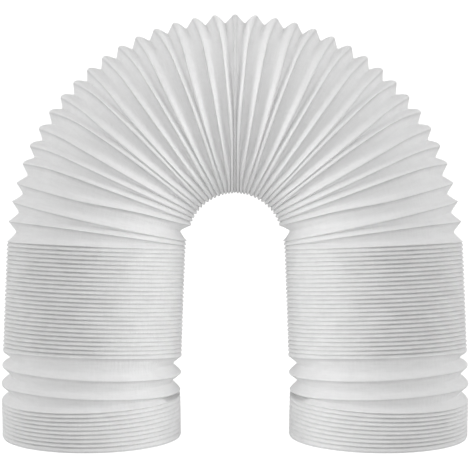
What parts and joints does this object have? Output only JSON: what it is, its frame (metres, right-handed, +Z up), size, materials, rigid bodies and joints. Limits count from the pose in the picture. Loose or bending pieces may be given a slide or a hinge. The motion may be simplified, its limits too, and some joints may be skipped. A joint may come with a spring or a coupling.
{
  "type": "air conditioner exhaust hose",
  "caption": "White corrugated plastic exhaust hose bent into an arch that stands on its two open ends, for leading hot air out of a portable air conditioner.",
  "frame": {"origin": "on the floor, under the middle of the hose's bounding box", "axes": "+X to the right of someone facing the arch, from one leg to the other, +Y to the back, +Z up, towards the crown of the arch"},
  "size_m": [0.3918, 0.1698, 0.3522],
  "materials": {
    "white_plastic": "satin white polypropylene, moulded in the colour"
  },
  "bodies": {
    "root": {"hose": "white_plastic"}
  },
  "joints": []
}
